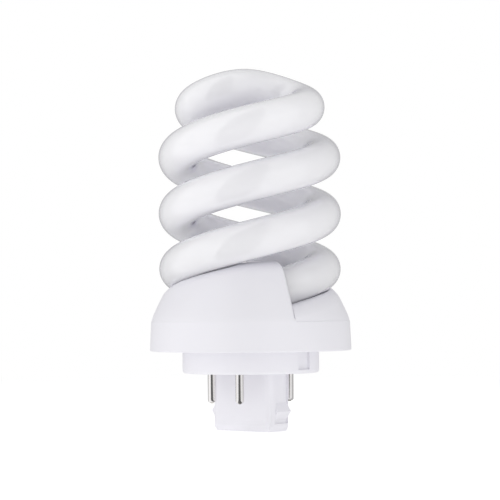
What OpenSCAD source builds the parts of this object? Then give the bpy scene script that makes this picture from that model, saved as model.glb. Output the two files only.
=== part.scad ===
// Plug-in compact fluorescent lamp: a spiral glass tube on a domed housing with a
// keyed post and four contact pins. Millimetres, +Z up the lamp's axis, origin in the
// middle of the post's foot, the post's wide sides along X.

/* [Glass tube] */
// Outside diameter of the glass tube
tube_d = 10.8; // [9.6:0.1:11.2]
// Radius of the spiral, from the lamp's axis to the middle of the glass
coil_r = 20.1; // [18.5:0.1:21]
// Climb of one arm in a full turn
coil_pitch = 31.5; // [29:0.1:36]
// Turns of each arm between the crown and the face of its hood
arm_turns = 1.767; // [1.75:0.001:1.8]
// Turn of the arm, in degrees, over which it leaves the crown for the full spiral
crown_turn = 30; // [28:1:32]
// Softness of the crown's crest, in degrees of turn
crest_turn = 6; // [4:1:10]
// How far one lobe of the crown hangs below the other
crown_lean = -0.3; // [-0.6:0.1:0.3]
// How far the crown stands above the spiral's even climb
crown_rise = 1.44; // [1.2:0.04:1.6]
// Turn, in degrees, over which the crown's rise dies out
crown_rise_turn = 25; // [22:1:28]
// Radius at which an arm enters its hood
entry_r = 16.4; // [15.8:0.1:17]
// Turn of the arm, in degrees, over which it draws in to the hood
entry_turn = 74; // [60:1:100]
// Turn of the arm, in degrees, that the housing hides, up to the seal
hidden_turn = 87; // [80:1:90]
// Diameter of the sealed exhaust stub on each end of the glass
stub_d = 3.2; // [2.4:0.1:4]
// Length of the exhaust stub
stub_l = 3.2; // [2:0.1:4]

/* [Domed cover] */
// Diameter of the cover at its lower rim
rim_d = 56.3; // [56:0.1:60]
// How much the band's upper edge is smaller across than the rim
band_taper = 0.7; // [0:0.1:1.2]
// Height of the straight band
band_h = 8.2; // [7:0.1:10]
// Rise of the dome's low side above the band
low_rise = 4; // [3.8:0.1:5]
// Lean of the hood's wall, in millimetres inwards for each millimetre up
wall_lean = 0.52; // [0.4:0.01:0.56]
// Height over which the wall turns from upright to its full lean
lean_start = 1.5; // [0.8:0.1:2.5]
// Radius of the hood's shoulder
shoulder_r = 5.6; // [4.6:0.1:6]
// Step between the band and the dome where the dome is low
ledge_step = 0.3; // [0:0.05:0.5]
// Thickness of the hood over the arm
hood_t = 1.45; // [1.2:0.05:2]
// Depth of the groove in which the turn above a hood lies
nest_depth = 0.9; // [0.4:0.1:1.2]
// Wall of the cover
cover_wall = 2; // [1.6:0.1:2.4]
// Thickness of the hood's end face at the arm
face_t = 1.8; // [1.4:0.1:2.4]
// Direction of the first hood's end face, in degrees from +X
face_dir = -24.3; // [-40:0.1:-10]
// Height of the snap bead inside the band, above the rim
bead_z = 4.1; // [3.6:0.1:4.6]
// Height of the snap bead's edge
bead_h = 0.6; // [0.4:0.1:1]
// How far the snap bead stands in from the wall
bead_d = 0.35; // [0.2:0.05:0.5]

/* [Closing plate] */
// Thickness of the plate
plate_t = 2; // [1.6:0.1:2.4]
// How far the plate lies above the cover's rim
plate_inset = 0.6; // [0.3:0.1:1]
// Height of the plate's upstand
upstand_h = 3.2; // [2.8:0.1:3.6]
// Wall of the plate's upstand
upstand_t = 1.6; // [1.4:0.1:2]

/* [Plug base] */
// Diameter of the base's ring
ring_d = 38.2; // [37.5:0.1:40]
// Height of the ring that shows under the rim
ring_h = 6.2; // [5.5:0.1:7]
// Radius of the ring's lower edge
ring_edge_r = 0.8; // [0.4:0.1:1.2]
// Thickness of the base's floor
floor_t = 2; // [1.6:0.1:2.4]
// Diameter of the neck that passes through the closing plate
neck_d = 34; // [33.5:0.1:35]
// Wall of the neck
neck_t = 1.8; // [1.4:0.1:2.4]
// How far the neck's snap lip stands out
lip_d = 0.9; // [0.5:0.1:1.2]
// Height of the neck's snap lip
lip_h = 1; // [0.8:0.1:1.5]
// Width of the keyways in the ring
keyway_w = 5; // [3:0.1:6]
// Depth of the keyways in the ring
keyway_d = 0.8; // [0.4:0.1:1]
// Height of the ring's lip under the keyways
keyway_lip = 1.1; // [0.8:0.1:1.6]
// Width of the neck's two locating keys
neck_key_w = 3; // [2:0.1:4]

/* [Keyed post] */
// Width of the post
post_w = 20.8; // [19:0.1:22]
// Depth of the post
post_t = 9.6; // [8.6:0.1:10.4]
// Length of the post below the ring
post_h = 16.2; // [14:0.1:18]
// Radius of the post's corners
post_corner_r = 2; // [1:0.1:2.6]
// Wall of the post
post_wall = 1.4; // [1.2:0.1:1.8]
// Height over which the post's foot narrows
foot_h = 4.8; // [3:0.1:5]
// How much the foot narrows on each side
foot_in = 1; // [0.5:0.1:1.2]
// Width of the key rib beside the latch face
rib_w = 2.8; // [2.4:0.1:3.2]
// Width of the thin rib at the latch face's other edge
thin_rib_w = 1; // [0.8:0.1:1.6]
// Depth of the latch face behind the ribs
latch_face_d = 0.8; // [0.4:0.1:1]
// Height of the latch face's lower edge above the foot
latch_face_z = 2.2; // [1.8:0.1:2.8]
// Height of the latch's ridge above the foot
latch_z = 5.6; // [5:0.1:7]
// Height of the latch from edge to edge
latch_h = 4.6; // [3.6:0.1:5]
// How far the latch's ridge stands out of the ribs
latch_out = 0.8; // [0.4:0.1:1.2]

/* [Contact pins] */
// Diameter of a contact pin
pin_d = 2.4; // [2.2:0.05:2.6]
// Diameter of the circle through the four pins
pin_circle_d = 24; // [23.5:0.1:24.5]
// Spacing of the two pins on one side of the post
pin_pitch = 10; // [9:0.1:10.6]
// Length of pin below the ring
pin_l = 8; // [6.5:0.1:9]
// Bore of the hollow pin
pin_bore_d = 1.4; // [1.2:0.05:1.5]
// Radius of the pin's rounded tip
pin_tip_r = 0.7; // [0.4:0.05:0.9]
// Diameter of the stretch of pin that is pressed into the floor
pin_seat_d = 2.8; // [2.75:0.05:2.9]
// Diameter of the collar that seats the pin on its boss
pin_collar_d = 3.6; // [3.2:0.1:4]
// Thickness of the pin's collar
pin_collar_t = 0.6; // [0.4:0.1:0.8]
// Height of the pin's boss above the base's floor
boss_h = 3; // [2:0.1:3.4]
// Diameter of the pin's boss
boss_d = 5; // [4.4:0.1:5.4]

/* [Leads and cement] */
// Diameter of a lead wire
wire_d = 0.8; // [0.5:0.05:0.9]
// Outside diameter of a wire's insulating sleeve
sleeve_d = 1.8; // [1.6:0.1:2]
// Bore of an insulating sleeve
sleeve_bore_d = 1.2; // [1.15:0.05:1.3]
// How far a lead bends out beside its pin
lead_bend = 4; // [3.8:0.1:4.2]
// Length of the solder that holds a lead in its pin's tip
solder_l = 1.2; // [0.6:0.1:2]
// How far the solder stands out of the pin's tip
solder_out = 0.25; // [0.1:0.05:0.4]
// Outside diameter of the cement that beds an arm
cement_d = 13.6; // [12.6:0.1:13.8]
// Turn of the arm, in degrees, that the cement beds
cement_turn = 16; // [10:1:20]
// Turn of the arm, in degrees, from the hood's face to the cement
cement_from = 44; // [40:1:50]
// How far the cement reaches in from the arm's middle line, towards the lamp's axis
cement_in = 3.4; // [2.4:0.1:4]

/* [Fits] */
// Gap between pieces that slide or snap together
fit_gap = 0.15; // [0.1:0.05:0.25]
// Gap round the glass where it passes through the cover
glass_gap = 0.3; // [0.25:0.05:0.35]
// Gap round a pressed pin
press_gap = 0.02; // [0.01:0.01:0.05]
// Gap between the cement and the glass
cement_gap = 0.05; // [0.02:0.01:0.1]

/* [Hidden] */

// Sides and steps of the faceted surfaces
tube_sides = 18;
tube_step = 10;
crown_steps = 5;
hood_steps = 26;
wall_steps = 5;
arc_steps = 6;
cut_sides = 26;
cut_step = 10;
wire_sides = 8;
route_steps = 2;

// Levels above the post's foot
rim_z = post_h + ring_h;
ledge_z = rim_z + band_h;
low_roof_z = ledge_z + low_rise;
plate_z = rim_z + plate_inset;
plate_top_z = plate_z + plate_t;
floor_top_z = post_h + floor_t;
pin_top_z = floor_top_z + boss_h;

// Radii
tube_r = tube_d / 2;
rim_r = rim_d / 2;
ledge_r = rim_r - band_taper / 2;
cavity_r = rim_r - cover_wall;
plate_r = cavity_r - fit_gap;
neck_r = neck_d / 2;
lean_angle = atan(wall_lean);

// The arms: half the glass's height on its slope, and the height and turn at the hood's face
coil_slope = atan(coil_pitch / (2 * PI * coil_r));
tube_half_h = tube_r / cos(coil_slope);
entry_z = low_roof_z - nest_depth + tube_half_h;
entry_b = 360 * arm_turns;
seal_b = entry_b + hidden_turn;
crown_dir = face_dir + entry_b;
crown_z = entry_z + coil_pitch / 360 * norm([entry_b, crest_turn]);
hood_top_z = entry_z + tube_half_h + hood_t;
crest_soft = 1.2;
lean_peak = 60;

// The dome of the seal and the stub beyond it, in degrees of turn
turn_mm = 2 * PI * entry_r / 360;
dome_b = 3.4 / turn_mm;
stub_b = stub_l / turn_mm;
// Turn that the end face's thickness takes up, and the level where the inner wall may lean
face_turn = face_t / turn_mm;
wall_foot_z = ledge_z - 3;
// Turn of the arm that lies in the groove above a hood, and turn that a cut runs past its piece
groove_turn = 185;
past_end = 4;
low_lean = 0.2;

// Pins on their circle
pin_x = pin_pitch / 2;
pin_y = sqrt(pow(pin_circle_d / 2, 2) - pow(pin_x, 2));
pin_places = [[-pin_x, -pin_y], [pin_x, -pin_y], [pin_x, pin_y], [-pin_x, pin_y]];

glass_white = "#F4F3F8";
housing_white = "#EDECF0";
base_white = "#E6E6EC";
nickel = "#C9C7C4";
sleeve_white = "#F2EFE2";
tinned_copper = "#B9B4AA";
cement_grey = "#DAD7D0";

// Small helpers
function smooth(x) = let (c = min(max(x, 0), 1)) c * c * (3 - 2 * c);
function soft_min(a, b, s) = (a + b - norm([a - b, s])) / 2;
function unit(v) = v / norm(v);
function two_faces(a, b, c, d) = concat(
    a == b || b == c || a == c ? [] : [[a, b, c]],
    a == c || c == d || a == d ? [] : [[a, c, d]]);

// The glass's middle line. b is the turn in degrees back from the crown along one arm, and
// a negative b is the other arm. The distance from the axis grows from nothing at the
// crown to the spiral's radius, and draws in again before the hood.
function arm_r(b) = coil_r * (1 - exp(-b / crown_turn))
    - (coil_r - entry_r) * smooth((b - entry_b + entry_turn) / entry_turn);
function arm_z(b) = crown_z - coil_pitch / 360 * norm([b, crest_turn])
    + crown_rise * exp(-pow(b / crown_rise_turn, 2));
function lobe_drop(b) = crown_lean * b / lean_peak * exp(1 - abs(b) / lean_peak);
function tube_at(b) = let (a = crown_dir - abs(b) + (b > 0 ? 180 : 0))
    [arm_r(abs(b)) * cos(a), arm_r(abs(b)) * sin(a), arm_z(abs(b)) + lobe_drop(b)];
function tube_way(b) = unit(tube_at(b + 0.5) - tube_at(b - 0.5));
function tube_side(b) = unit(cross(tube_way(b), [0, 0, 1]));
function tube_rise(b) = cross(tube_side(b), tube_way(b));

// Radius of the glass along an arm: full, then the rounded seal, then the stub
function glass_r(b) = let (d = abs(b) - seal_b, s = d / dome_b)
    d <= 0 ? tube_r :
    s < 1 ? max(tube_r * sqrt(1 - s * s), stub_d / 2) :
    d < dome_b + stub_b - 1 ? stub_d / 2 : stub_d / 4;

// Turns at which the glass has a ring: close ones over the crown and at the seals, and even
// steps along both arms
seal_turns = [for (s = [0.3, 0.55, 0.75, 0.9, 1, 1.1]) seal_b + s * dome_b];
end_turns = concat(seal_turns, [seal_b + dome_b + stub_b - 1.2, seal_b + dome_b + stub_b]);
arm_steps = ceil((seal_b - crown_turn) / tube_step);
arm_rings = [for (i = [0:arm_steps]) crown_turn + (seal_b - crown_turn) * i / arm_steps];
crown_rings = [for (i = [1:crown_steps]) crown_turn * i / (crown_steps + 1)];
half_rings = concat(crown_rings, arm_rings, end_turns);
glass_rings = concat([for (i = [len(half_rings) - 1:-1:0]) -half_rings[i]], [0], half_rings);

// A closed tube of rings: each ring is a list of points, and all have as many
module skin(rings) {
    n = len(rings);
    m = len(rings[0]);
    polyhedron(
        points = [for (r = rings, p = r) p],
        faces = concat(
            [[for (j = [m - 1:-1:0]) j]],
            [for (i = [0:n - 2], j = [0:m - 1]) let (k = (j + 1) % m)
                each two_faces(i * m + k, (i + 1) * m + k, (i + 1) * m + j, i * m + j)],
            [[for (j = [0:m - 1]) (n - 1) * m + j]]));
}

// A ring of radius r round the glass's middle line
function ring_at(b, r, sides) = let (c = tube_at(b), u = tube_side(b), v = tube_rise(b))
    [for (j = [0:sides - 1]) let (a = 360 * j / sides) c + r * (u * cos(a) + v * sin(a))];

module glass() { skin([for (b = glass_rings) ring_at(b, glass_r(b), tube_sides)]); }

// A length of the arm's course, of radius r
module arm_course(b0, b1, r) {
    steps = ceil(abs(b1 - b0) / cut_step);
    skin([for (i = [0:steps]) ring_at(min(b0, b1) + abs(b1 - b0) * i / steps, r, cut_sides)]);
}

// Height of the hood's top, with t from 0 at its low start to 1 at its end face
function hood_z(t) = soft_min(low_roof_z + coil_pitch / 2 * t, hood_top_z, crest_soft);

// Radius of the leaning wall at height z
function wall_r(z) = let (h = max(z - ledge_z, 0)) ledge_r - wall_lean * h * h / (h + lean_start);

// One upright section of the cover's outside, from the rim up the wall, over the shoulder
// and down the hood's inner side to the floor round the axis
function outer_section(t) =
    let (top = hood_z(t), tan_z = max(top - shoulder_r * (1 - sin(lean_angle)), ledge_z + 0.4),
         step = ledge_step * pow(1 - t, 2), mid_r = wall_r(tan_z) - step - shoulder_r * cos(lean_angle),
         in_r = entry_r - tube_r - hood_t, lift = top - low_roof_z)
    concat(
        [[rim_r - 0.25, rim_z], [rim_r, rim_z + 0.25], [ledge_r, ledge_z - 0.1]],
        [for (i = [0:wall_steps]) let (z = ledge_z + (tan_z - ledge_z) * i / wall_steps)
            [wall_r(z) - step, z]],
        [for (i = [1:arc_steps]) let (a = lean_angle + (90 - lean_angle) * i / arc_steps)
            [mid_r + shoulder_r * cos(a), top - shoulder_r + shoulder_r * sin(a)]],
        [for (s = [[1.6, 1], [0.8, 0.93], [0.25, 0.8], [-0.2, 0.08], [-0.9, 0]])
            [in_r + s[0], low_roof_z + lift * s[1]]]);

// Radius of the wall's inner face, which leans in more at a hood's low start
function inner_wall_r(z, t) = min(cavity_r, wall_r(z) - hood_t) - low_lean * (1 - t) * (z - wall_foot_z);

// The same section of the hollow inside, a wall's thickness in. It carries the snap bead.
function inner_section(t) =
    let (top = hood_z(t) - hood_t - nest_depth - coil_pitch / 2 * face_turn / 180,
         tan_z = max(top - shoulder_r * (1 - sin(lean_angle)), wall_foot_z + 0.5),
         arc_r = shoulder_r - hood_t, mid_r = inner_wall_r(tan_z, t) - arc_r * cos(lean_angle),
         in_r = entry_r - tube_r, roof = low_roof_z - hood_t - 0.3, lift = top - roof,
         b0 = rim_z + bead_z)
    concat(
        [[cavity_r, rim_z - 1], [cavity_r, b0 - bead_h], [cavity_r - bead_d, b0 - bead_h / 2],
         [cavity_r - bead_d, b0 + bead_h / 2], [cavity_r, b0 + bead_h]],
        [for (i = [0:wall_steps]) let (z = wall_foot_z + (tan_z - wall_foot_z) * i / wall_steps)
            [inner_wall_r(z, t), z]],
        [for (i = [1:arc_steps]) let (a = lean_angle + (90 - lean_angle) * i / arc_steps)
            [mid_r + arc_r * cos(a), tan_z - arc_r * sin(lean_angle) + arc_r * sin(a)]],
        [[in_r + 1.5, top], [in_r + 0.5, roof + 0.9 * lift], [in_r, roof]]);

// A solid round the axis made of two like halves: in each, the section changes from its
// low start to its tall end, and the step between them is the hood's end face. A section's
// points that both ends share are the same corner.
module two_hoods(low, sections, turn, pole_low, pole_top, shared_low, shared_top) {
    n = hood_steps;
    m = len(low);
    function shared(j) = j < shared_low || j >= m - shared_top;
    function corner(i, j) = let (h = floor(i / (n + 1)) % 2, k = i % (n + 1))
        k == n && shared(j) ? ((1 - h) * (n + 1)) * m + j : (h * (n + 1) + k) * m + j;
    rows = 2 * (n + 1);
    places = [for (h = [0, 1], k = [0:n]) let (a = turn - 180 + 180 * (h + k / n))
        [for (p = sections[k]) [p[0] * cos(a), p[0] * sin(a), p[1]]]];
    polyhedron(
        points = concat([for (r = places, p = r) p], [pole_low, pole_top]),
        faces = concat(
            [for (i = [0:rows - 1], j = [0:m - 2]) let (i2 = (i + 1) % rows)
                each two_faces(corner(i, j), corner(i, j + 1), corner(i2, j + 1), corner(i2, j))],
            [for (i = [0:rows - 1]) let (a = corner(i, 0), b = corner((i + 1) % rows, 0))
                if (a != b) [rows * m, a, b]],
            [for (i = [0:rows - 1]) let (a = corner(i, m - 1), b = corner((i + 1) % rows, m - 1))
                if (a != b) [rows * m + 1, b, a]]));
}

module hoods(inside) {
    sections = [for (k = [0:hood_steps]) inside ? inner_section(k / hood_steps) : outer_section(k / hood_steps)];
    if (inside)
        two_hoods(sections[0], sections, face_dir - face_turn, [0, 0, rim_z - 1],
            [0, 0, low_roof_z - hood_t - 0.3], shared_low = 6, shared_top = 1);
    else
        two_hoods(sections[0], sections, face_dir, [0, 0, rim_z], [0, 0, low_roof_z + 0.4],
            shared_low = 3, shared_top = 1);
}

module discharge_tube() { color(glass_white) glass(); }

// The cover is hollow, and each arm passes through its hood's end face. The turn above a
// hood lies in a shallow groove.
module tube_cover() {
    color(housing_white) difference() {
        hoods(false);
        hoods(true);
        for (side = [-1, 1])
            arm_course(side * (entry_b - groove_turn), side * (seal_b + dome_b), tube_r + glass_gap);
    }
}

// The plate that closes the cover from below, with an upstand that snaps over the bead
module closing_plate() {
    hole_r = neck_r + fit_gap;
    z0 = rim_z + bead_z - bead_h - fit_gap;
    z1 = rim_z + bead_z + bead_h + fit_gap;
    up_z = plate_top_z + upstand_h;
    groove_r = plate_r - bead_d - fit_gap;
    color(housing_white) difference() {
        rotate_extrude($fn = 96) polygon([
            [hole_r, plate_z], [plate_r, plate_z], [plate_r, z0], [groove_r, z0 + 0.2],
            [groove_r, z1 - 0.2], [plate_r, z1], [plate_r, up_z - 0.3], [plate_r - 0.3, up_z],
            [plate_r - upstand_t, up_z], [plate_r - upstand_t, plate_top_z], [hole_r, plate_top_z]]);
        for (side = [-1, 1]) translate([0, side * neck_r, plate_z])
            cube([neck_key_w + 2 * fit_gap, 2 * lip_d + 2 * fit_gap, 3 * plate_t], center = true);
    }
}

// A rectangle with round corners, for the post
module round_rect(w, t, r) {
    square([w - 2 * r, t], center = true);
    square([w, t - 2 * r], center = true);
    for (x = [-1, 1], y = [-1, 1]) translate([x * (w / 2 - r), y * (t / 2 - r)]) circle(r = r, $fn = 32);
}

// One upright outline of the post, narrowed at its foot
module foot_outline(w, h) {
    polygon([[-w / 2 + foot_in, 0], [w / 2 - foot_in, 0], [w / 2 - foot_in * 0.4, 0.35 * foot_h],
        [w / 2, foot_h], [w / 2, h], [-w / 2, h], [-w / 2, foot_h], [-w / 2 + foot_in * 0.4, 0.35 * foot_h]]);
}

module post_body() {
    top = post_h + floor_t / 2;
    intersection() {
        linear_extrude(top) round_rect(post_w, post_t, post_corner_r);
        rotate([90, 0, 0]) translate([0, 0, -post_t]) linear_extrude(2 * post_t) foot_outline(post_w, top);
        rotate([90, 0, 90]) translate([0, 0, -post_w]) linear_extrude(2 * post_w) foot_outline(post_t, top);
    }
}

// The latch face is set back between two ribs, and its ridge catches the holder's spring
module latch_face() {
    y0 = -post_t / 2 + rib_w;
    y1 = post_t / 2 - thin_rib_w;
    translate([post_w / 2 - latch_face_d, y0, latch_face_z])
        cube([2 * latch_face_d, y1 - y0, post_h - latch_face_z]);
}

module latch_ridge() {
    y0 = -post_t / 2 + rib_w;
    y1 = post_t / 2 - thin_rib_w;
    x0 = post_w / 2 - latch_face_d - 0.1;
    translate([0, y1, 0]) rotate([90, 0, 0]) linear_extrude(y1 - y0) polygon([
        [x0, latch_z - latch_h / 2], [x0 + 0.1, latch_z - latch_h / 2], [post_w / 2 + latch_out, latch_z],
        [x0 + 0.1, latch_z + latch_h / 2], [x0, latch_z + latch_h / 2]]);
}

// The base: a ring and neck round a floor that carries the pins, and the hollow post
module plug_base() {
    ring_r = ring_d / 2;
    ring_top = plate_z - fit_gap;
    neck_top = plate_top_z + fit_gap + lip_h;
    neck_in = neck_r - neck_t;
    hollow = post_corner_r - post_wall > 0.3 ? post_corner_r - post_wall : 0.3;
    color(base_white) difference() {
        union() {
            rotate_extrude($fn = 96) polygon(concat(
                [[0, post_h]],
                [for (a = [-90:30:0]) [ring_r - ring_edge_r + ring_edge_r * cos(a),
                    post_h + ring_edge_r + ring_edge_r * sin(a)]],
                [[ring_r, ring_top], [neck_r, ring_top], [neck_r, plate_top_z + fit_gap],
                 [neck_r + lip_d, plate_top_z + fit_gap], [neck_r, neck_top], [neck_in, neck_top],
                 [neck_in, floor_top_z], [0, floor_top_z]]));
            post_body();
            for (p = pin_places) translate([p[0], p[1], post_h + floor_t / 2])
                cylinder(d = boss_d, h = floor_t / 2 + boss_h, $fn = 48);
            for (side = [-1, 1]) translate([0, side * (neck_r - neck_t / 2), (ring_top + neck_top - lip_h) / 2])
                cube([neck_key_w, neck_t + 2 * lip_d * 0.8, neck_top - lip_h - ring_top], center = true);
        }
        translate([0, 0, post_wall]) linear_extrude(post_h + floor_t)
            round_rect(post_w - 2 * latch_face_d - 2 * post_wall, post_t - 2 * post_wall, hollow);
        for (a = [0, 180]) rotate([0, 0, a]) {
            latch_face();
            translate([ring_r - keyway_d, -keyway_w / 2, post_h + keyway_lip])
                cube([2 * keyway_d, keyway_w, ring_h + plate_inset]);
        }
        for (p = pin_places) translate([p[0], p[1], post_h - 1])
            cylinder(d = pin_seat_d + 2 * press_gap, h = floor_t + boss_h + 2, $fn = 48);
    }
    color(base_white) for (a = [0, 180]) rotate([0, 0, a]) latch_ridge();
}

// A hollow pin, turned: rounded tip, shank, the wider stretch pressed into the floor and the
// collar that seats it on its boss
module contact_pin(i) {
    r = pin_d / 2;
    seat_r = pin_seat_d / 2;
    bore = pin_bore_d / 2;
    tip_z = post_h - pin_l;
    color(nickel) translate([pin_places[i - 1][0], pin_places[i - 1][1], 0])
        rotate_extrude($fn = 48) polygon(concat(
            [[bore, tip_z]],
            [for (a = [0:15:90]) let (in = min(pin_tip_r, r - bore - 0.05))
                [r - in + in * sin(a), tip_z + pin_tip_r * (1 - cos(a))]],
            [[r, post_h], [seat_r, post_h], [seat_r, pin_top_z + press_gap],
             [pin_collar_d / 2, pin_top_z + press_gap],
             [pin_collar_d / 2, pin_top_z + pin_collar_t], [bore, pin_top_z + pin_collar_t]]));
}

// Routes of the two leads from the first arm's seal, each to the top of its pin
seal_at = tube_at(-(seal_b + dome_b + 2));
lead_in = unit([seal_at[0], seal_at[1], 0]);
lead_side = stub_d / 2 + wire_d / 2 + 0.6;
near_head = [-pin_x, -pin_y, pin_top_z + pin_collar_t];
far_head = [pin_x, -pin_y, pin_top_z + pin_collar_t];
near_route = [
    tube_at(-(seal_b + dome_b + 1)) - lead_side * lead_in,
    tube_at(-(seal_b + dome_b + 7)) - lead_side * lead_in,
    near_head + lead_bend * [-1, 0.325, 1.3], near_head + lead_bend * [-0.35, 0.125, 0.95],
    near_head + lead_bend * [0, 0, 0.4], near_head + lead_bend * [0, 0, 0.075]];
far_route = [
    tube_at(-(seal_b + dome_b + 1)) - [0, 0, lead_side],
    tube_at(-(seal_b + dome_b + 7)) - [0, 0, lead_side],
    near_head + lead_bend * [-0.9, 0.625, 1.2], near_head + lead_bend * [0.5, 0.775, 1],
    far_head + lead_bend * [-0.65, 0.375, 0.95], far_head + lead_bend * [0, 0, 0.4],
    far_head + lead_bend * [0, 0, 0.075]];

// A smooth curve through the points of a route
function bend(p, i, s) = let (n = len(p) - 1, a = p[max(i - 1, 0)], b = p[i], c = p[i + 1], d = p[min(i + 2, n)])
    0.5 * (2 * b + (c - a) * s + (2 * a - 5 * b + 4 * c - d) * s * s + (3 * b - a - 3 * c + d) * s * s * s);
function smooth_route(p) = concat(
    [for (i = [0:len(p) - 2], k = [0:route_steps - 1]) bend(p, i, k / route_steps)], [p[len(p) - 1]]);

// A round rod along a path, with round joints
module rod(path, r) {
    for (i = [0:len(path) - 2]) hull() {
        translate(path[i]) sphere(r = r, $fn = wire_sides);
        translate(path[i + 1]) sphere(r = r, $fn = wire_sides);
    }
}

module lead(i) {
    route = i % 2 == 1 ? near_route : far_route;
    x = i % 2 == 1 ? -pin_x : pin_x;
    tip_z = post_h - pin_l;
    color(tinned_copper) rotate([0, 0, i > 2 ? 180 : 0]) {
        rod(concat(smooth_route(route), [[x, -pin_y, tip_z + solder_l / 2]]), wire_d / 2);
        translate([x, -pin_y, tip_z]) cylinder(d = pin_bore_d - 2 * press_gap, h = solder_l, $fn = 24);
        translate([x, -pin_y, tip_z - solder_out])
            cylinder(d1 = pin_bore_d / 2, d2 = pin_bore_d - 2 * press_gap, h = solder_out, $fn = 24);
    }
}

module sleeve(i) {
    path = smooth_route(i % 2 == 1 ? near_route : far_route);
    last = len(path) - 1;
    color(sleeve_white) rotate([0, 0, i > 2 ? 180 : 0]) difference() {
        rod([for (k = [2:last - 1]) path[k]], sleeve_d / 2);
        rod(path, sleeve_bore_d / 2);
    }
}

// Cement that beds an arm in its hood, above, outside and below the glass
module cement(side) {
    from_b = entry_b + cement_from;
    to_b = from_b + cement_turn;
    color(cement_grey) difference() {
        arm_course(side * from_b, side * to_b, cement_d / 2);
        arm_course(side * (from_b - past_end), side * (to_b + past_end), tube_r + cement_gap);
        cylinder(r = entry_r - cement_in, h = hood_top_z, $fn = 96);
    }
}

discharge_tube();
tube_cover();
closing_plate();
plug_base();
for (i = [1:4]) {
    contact_pin(i);
    lead(i);
    sleeve(i);
}
cement(-1);  // tube_cement_1
cement(1);  // tube_cement_2
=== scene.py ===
"""A plug-in compact fluorescent lamp, standing on its post in a pale studio.

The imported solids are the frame. The glass tube and the hooded cover are made again here as
smooth surfaces in the same place, and the other pieces are finished copies of the solids.
Sizes are in millimetres in the classes and become metres where a mesh is made.
"""

import logging
import math
from dataclasses import dataclass, field
from enum import Enum

import bmesh
import bpy
import numpy as np
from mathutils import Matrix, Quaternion, Vector


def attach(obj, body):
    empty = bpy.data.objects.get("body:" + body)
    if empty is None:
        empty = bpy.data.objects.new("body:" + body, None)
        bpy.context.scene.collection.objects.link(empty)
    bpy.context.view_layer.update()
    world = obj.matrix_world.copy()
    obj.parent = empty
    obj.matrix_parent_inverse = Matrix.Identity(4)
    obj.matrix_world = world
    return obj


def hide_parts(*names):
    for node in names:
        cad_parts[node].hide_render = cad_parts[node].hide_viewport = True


log = logging.getLogger("lamp")
MM = 0.001
ROOT = "root"
# Corners nearer than this, in metres, are one corner
SAME_PLACE = 2e-6
# Faces that turn by less than the first, in degrees, are one face. Past the second they keep an edge.
FLAT, SHARP = 0.4, 32.0
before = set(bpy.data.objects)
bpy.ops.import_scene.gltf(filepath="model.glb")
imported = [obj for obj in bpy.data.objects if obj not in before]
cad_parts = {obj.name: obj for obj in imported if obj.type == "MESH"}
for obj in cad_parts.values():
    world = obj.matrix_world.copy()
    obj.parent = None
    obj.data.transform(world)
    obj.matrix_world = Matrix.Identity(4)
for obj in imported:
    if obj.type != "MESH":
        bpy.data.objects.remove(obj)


# Meshes


def linear(hex_colour: str) -> tuple[float, float, float, float]:
    """Turn an sRGB hex colour into linear RGBA.

    Args:
        hex_colour: Colour as #RRGGBB.

    Returns:
        The linear colour with an alpha of 1.
    """
    parts = [int(hex_colour[i : i + 2], 16) / 255 for i in (1, 3, 5)]
    red, green, blue = (c / 12.92 if c <= 0.04045 else ((c + 0.055) / 1.055) ** 2.4 for c in parts)
    return red, green, blue, 1.0


def mesh_object(name: str, points: np.ndarray, faces: np.ndarray) -> bpy.types.Object:
    """Make a smooth-shaded object from corner and face arrays.

    Args:
        name: Name of the piece.
        points: Corners in millimetres, one row each.
        faces: Four corner numbers a face. A face whose last two are alike is a triangle.

    Returns:
        The linked object, with its place in its mesh.
    """
    triangles = faces[:, 2] == faces[:, 3]
    sizes = np.where(triangles, 3, 4)
    starts = np.concatenate([[0], np.cumsum(sizes)[:-1]])
    keep = np.ones(faces.shape, bool)
    keep[triangles, 3] = False
    mesh = bpy.data.meshes.new(name)
    mesh.vertices.add(len(points))
    mesh.vertices.foreach_set("co", (points * MM).astype(np.float32).ravel())
    mesh.loops.add(int(sizes.sum()))
    mesh.loops.foreach_set("vertex_index", faces[keep].astype(np.int32))
    mesh.polygons.add(len(faces))
    mesh.polygons.foreach_set("loop_start", starts.astype(np.int32))
    mesh.polygons.foreach_set("use_smooth", np.ones(len(faces), bool))
    mesh.update(calc_edges=True)
    mesh.validate()
    piece = bpy.data.objects.new(name, mesh)
    bpy.context.scene.collection.objects.link(piece)
    return piece


def grid_faces(rows: int, columns: int, closed: bool = True) -> np.ndarray:
    """Number the faces of a grid of corners.

    Args:
        rows: Rings of corners along the form.
        columns: Corners in each ring.
        closed: Whether a ring joins its own start.

    Returns:
        Four corner numbers a face.
    """
    row = np.arange(rows - 1)[:, None]
    column = np.arange(columns if closed else columns - 1)[None, :]
    after = (column + 1) % columns
    corners = [row * columns + column, row * columns + after]
    corners += [(row + 1) * columns + after, (row + 1) * columns + column]
    return np.stack([np.broadcast_to(c, (rows - 1, column.size)) for c in corners], -1).reshape(-1, 4)


def fan_faces(ring: np.ndarray, tip: int, turned: bool) -> np.ndarray:
    """Close a ring with triangles to one corner.

    Args:
        ring: Corner numbers of the ring, in order.
        tip: Corner number of the point that closes it.
        turned: Whether the faces look the other way.

    Returns:
        Faces whose last two numbers are alike.
    """
    after = np.roll(ring, -1)
    first, second = (after, ring) if turned else (ring, after)
    tips = np.full(len(ring), tip)
    return np.stack([first, second, tips, tips], -1)


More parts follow.
